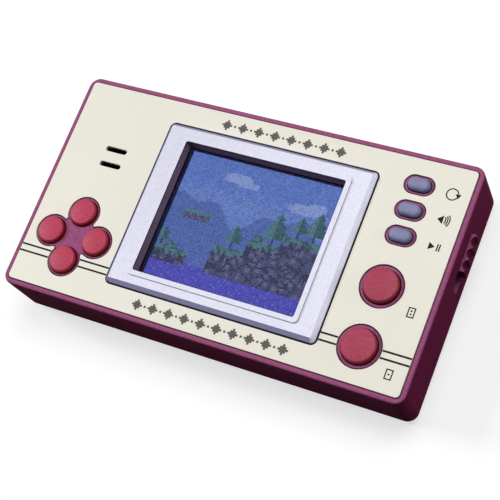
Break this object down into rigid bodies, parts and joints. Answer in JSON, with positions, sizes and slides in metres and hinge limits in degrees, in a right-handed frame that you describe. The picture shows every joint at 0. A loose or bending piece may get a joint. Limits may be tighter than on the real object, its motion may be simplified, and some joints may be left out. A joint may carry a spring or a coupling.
{
  "type": "handheld game console",
  "caption": "Pocket game console with a bevelled screen trim, round direction and action buttons, oval menu buttons, a side power slider and a tilt-out battery door.",
  "frame": {"origin": "centre of the case's flat back, on the plane that it lies on", "axes": "+X to the player's right along the case, +Y towards the top edge of the face, +Z out of the face"},
  "size_m": [0.1092, 0.059, 0.0196],
  "materials": {
    "case_abs": "moulded, fine spark texture",
    "plate_abs": "moulded, fine satin texture, printed",
    "trim_abs": "silver-lavender spray lacquer",
    "lens_acrylic": "clear polished acrylic",
    "display_glass": "lit colour display under a polariser",
    "light_guide": "white reflector and light guide",
    "red_abs": "moulded, satin",
    "grey_abs": "moulded, satin",
    "silicone": "moulded silicone",
    "carbon_pill": "conductive carbon rubber",
    "foam": "black foam",
    "board_laminate": "green solder mask",
    "chip_resin": "black resin",
    "flex_film": "amber film",
    "socket_nylon": "cream nylon",
    "plated_steel": "nickel plated",
    "lever_nylon": "black plastic",
    "cell_jacket": "printed jacket",
    "wire_pvc": "PVC insulation"
  },
  "bodies": {
    "console": {"front_shell": "case_abs", "rear_shell": "case_abs", "face_plate": "plate_abs", "screen_bezel": "trim_abs", "screen_lens": "lens_acrylic", "lcd_glass": "display_glass", "lcd_backlight": "light_guide", "dpad_membrane": "silicone", "action_membrane": "silicone", "menu_membrane": "silicone", "lens_tape": "foam", "lcd_cushion": "foam", "speaker_gasket": "foam", "main_board": "board_laminate", "chip_blob": "chip_resin", "board_chips": "chip_resin", "lcd_flex": "flex_film", "lcd_connector": "socket_nylon", "board_screws": "plated_steel", "case_screws": "plated_steel", "battery_springs": "plated_steel", "positive_contact": "plated_steel", "negative_contact": "plated_steel", "bridge_contacts": "plated_steel", "slide_switch": "plated_steel", "speaker": "plated_steel", "speaker_cone": "lever_nylon", "battery_1": "cell_jacket", "battery_2": "cell_jacket", "battery_3": "cell_jacket", "speaker_wires": "wire_pvc", "battery_wires": "wire_pvc"},
    "dpad_up": {"dpad_up_button": "red_abs", "dpad_up_pill": "carbon_pill"},
    "dpad_down": {"dpad_down_button": "red_abs", "dpad_down_pill": "carbon_pill"},
    "dpad_left": {"dpad_left_button": "red_abs", "dpad_left_pill": "carbon_pill"},
    "dpad_right": {"dpad_right_button": "red_abs", "dpad_right_pill": "carbon_pill"},
    "upper_action": {"upper_action_button": "red_abs", "upper_action_pill": "carbon_pill"},
    "lower_action": {"lower_action_button": "red_abs", "lower_action_pill": "carbon_pill"},
    "reset": {"reset_button": "grey_abs", "reset_pill": "carbon_pill"},
    "volume": {"volume_button": "grey_abs", "volume_pill": "carbon_pill"},
    "pause": {"pause_button": "grey_abs", "pause_pill": "carbon_pill"},
    "power_slider": {"power_slider": "case_abs", "switch_lever": "lever_nylon"},
    "battery_door": {"battery_door": "case_abs"}
  },
  "joints": [
    {"name": "dpad_up_press", "type": "slide", "parent": "console", "child": "dpad_up", "axis": [0, 0, -1], "range_m": [0, 0.001], "stiffness_N_per_m": 300, "deforming": ["dpad_membrane"]},
    {"name": "dpad_down_press", "type": "slide", "parent": "console", "child": "dpad_down", "axis": [0, 0, -1], "range_m": [0, 0.001], "stiffness_N_per_m": 300, "deforming": ["dpad_membrane"]},
    {"name": "dpad_left_press", "type": "slide", "parent": "console", "child": "dpad_left", "axis": [0, 0, -1], "range_m": [0, 0.001], "stiffness_N_per_m": 300, "deforming": ["dpad_membrane"]},
    {"name": "dpad_right_press", "type": "slide", "parent": "console", "child": "dpad_right", "axis": [0, 0, -1], "range_m": [0, 0.001], "stiffness_N_per_m": 300, "deforming": ["dpad_membrane"]},
    {"name": "upper_action_press", "type": "slide", "parent": "console", "child": "upper_action", "axis": [0, 0, -1], "range_m": [0, 0.001], "stiffness_N_per_m": 300, "deforming": ["action_membrane"]},
    {"name": "lower_action_press", "type": "slide", "parent": "console", "child": "lower_action", "axis": [0, 0, -1], "range_m": [0, 0.001], "stiffness_N_per_m": 300, "deforming": ["action_membrane"]},
    {"name": "reset_press", "type": "slide", "parent": "console", "child": "reset", "axis": [0, 0, -1], "range_m": [0, 0.001], "stiffness_N_per_m": 300, "deforming": ["menu_membrane"]},
    {"name": "volume_press", "type": "slide", "parent": "console", "child": "volume", "axis": [0, 0, -1], "range_m": [0, 0.001], "stiffness_N_per_m": 300, "deforming": ["menu_membrane"]},
    {"name": "pause_press", "type": "slide", "parent": "console", "child": "pause", "axis": [0, 0, -1], "range_m": [0, 0.001], "stiffness_N_per_m": 300, "deforming": ["menu_membrane"]},
    {"name": "power_slide", "type": "slide", "parent": "console", "child": "power_slider", "axis": [0, -1, 0], "range_m": [0, 0.004]},
    {"name": "battery_door_tilt", "type": "hinge", "parent": "console", "child": "battery_door", "pos_m": [0.0017, 0.0182, 0.0001], "axis": [1, 0, 0], "range_deg": [0, 70]}
  ]
}
